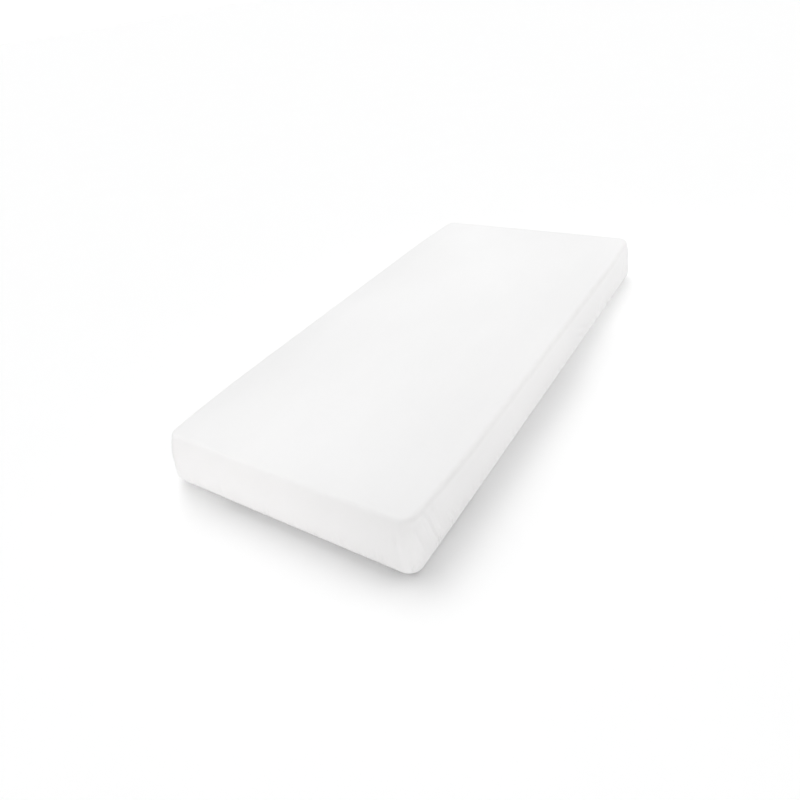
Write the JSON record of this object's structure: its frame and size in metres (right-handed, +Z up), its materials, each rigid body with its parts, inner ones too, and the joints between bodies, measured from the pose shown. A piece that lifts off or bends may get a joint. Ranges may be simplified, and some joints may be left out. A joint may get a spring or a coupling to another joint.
{
  "type": "fitted sheet on a mattress",
  "caption": "Plain white fitted sheet stretched over a rectangular mattress, with rounded corners, gathered corner pleats and an elasticated hem turned under.",
  "frame": {"origin": "on the surface the object lies on, under the middle of its length and width", "axes": "+Z up through the thickness, +Y along the length, +X across the width"},
  "size_m": [0.907, 1.907, 0.188],
  "materials": {
    "sheet_cotton": "matt white cotton, finely woven, stretched taut",
    "mattress_ticking": "matt off-white woven ticking over foam"
  },
  "bodies": {
    "root": {"fitted_sheet": "sheet_cotton", "mattress": "mattress_ticking"}
  },
  "joints": []
}
